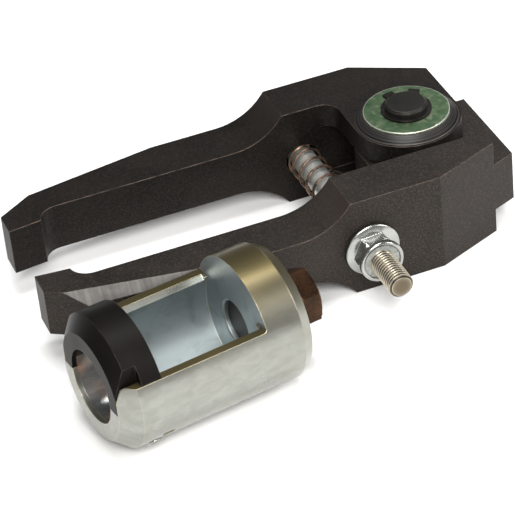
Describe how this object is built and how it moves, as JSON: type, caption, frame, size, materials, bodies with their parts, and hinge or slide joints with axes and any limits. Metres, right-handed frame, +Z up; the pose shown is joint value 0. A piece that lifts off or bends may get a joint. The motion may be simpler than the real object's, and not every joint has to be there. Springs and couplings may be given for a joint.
{
  "type": "coil spring compressor",
  "caption": "Coil spring compressor set: two hinged jaws drawn together by a bolt and nut, and a windowed socket with a lift-off half collar and a forcing screw.",
  "frame": {"origin": "on the pivot pin's axis, at its lower end face, in the plane that the tool lies on", "axes": "+X from the jaw tips to the knuckle, +Y from the near jaw (nut side) to the far jaw, +Z up along the pivot"},
  "size_m": [0.2371, 0.1947, 0.0644],
  "materials": {
    "jaw_black": "black oxide, worn edges",
    "pin_black": "black oxide",
    "turned_black": "black oxide, turned",
    "spring_steel": "phosphated",
    "washer_zinc": "zinc plated, greenish",
    "bolt_zinc": "bright zinc",
    "nut_zinc": "bright zinc",
    "nylon": "matte",
    "spring_brown": "brown wire",
    "bronze": "plain bronze",
    "socket_zinc": "yellowish zinc",
    "collar_black": "black oxide",
    "liner_steel": "ground steel",
    "hex_black": "black oxide"
  },
  "bodies": {
    "near_jaw_body": {"near_jaw": "jaw_black", "pivot_bush": "bronze", "return_spring": "spring_brown"},
    "far_jaw_body": {"far_jaw": "jaw_black", "pivot_pin": "pin_black", "pivot_spacer": "turned_black", "pivot_washer": "washer_zinc", "retaining_ring": "spring_steel", "lower_washer": "washer_zinc", "lower_ring": "spring_steel"},
    "bolt_seat": {"seat_washer": "washer_zinc"},
    "bolt": {"draw_bolt": "bolt_zinc", "head_washer": "washer_zinc"},
    "nut": {"flange_nut": "nut_zinc", "nut_insert": "nylon"},
    "socket": {"socket_body": "socket_zinc", "bore_liner": "liner_steel", "side_screw": "bolt_zinc"},
    "gate": {"gate_collar": "collar_black"},
    "pad": {"thrust_pad": "pin_black"},
    "screw": {"forcing_screw": "hex_black"}
  },
  "joints": [
    {"name": "jaw_pivot", "type": "hinge", "parent": "near_jaw_body", "child": "far_jaw_body", "pos_m": [0, 0, 0.025], "axis": [0, 0, -1], "range_deg": [-6, 6], "deforming": ["return_spring"]},
    {"name": "bolt_swivel", "type": "hinge", "parent": "near_jaw_body", "child": "bolt_seat", "pos_m": [-0.0435, -0.0668, 0.023], "axis": [0, 0, -1], "range_deg": [-3.1, 3.1]},
    {"name": "bolt_slide", "type": "slide", "parent": "bolt_seat", "child": "bolt", "axis": [0, 1, 0], "range_m": [-0.0048, 0.0048]},
    {"name": "nut_turn", "type": "hinge", "parent": "bolt_seat", "child": "nut", "pos_m": [-0.0435, -0.055, 0.023], "axis": [0, 1, 0], "range_deg": [-960, 960]},
    {"name": "socket_lift_off", "type": "slide", "parent": "near_jaw_body", "child": "socket", "axis": [0, -1, 0], "range_m": [0, 0.04]},
    {"name": "gate_lift", "type": "slide", "parent": "socket", "child": "gate", "axis": [0, 0, 1], "range_m": [0, 0.035]},
    {"name": "pad_slide", "type": "slide", "parent": "socket", "child": "pad", "axis": [-0.9866, -0.1633, 0], "range_m": [0, 0.006]},
    {"name": "screw_turn", "type": "hinge", "parent": "pad", "child": "screw", "pos_m": [-0.10661, -0.0871, 0.0322], "axis": [-0.9866, -0.1633, 0], "range_deg": [0, 1081]}
  ],
  "couplings": [
    {"joint": "bolt_swivel", "follows": "jaw_pivot", "ratio": 0.5},
    {"joint": "bolt_slide", "follows": "jaw_pivot", "m_per_rad": 0.0435},
    {"joint": "nut_turn", "follows": "jaw_pivot", "ratio": 156.18},
    {"joint": "screw_turn", "follows": "pad_slide", "rad_per_m": 3141.6}
  ]
}
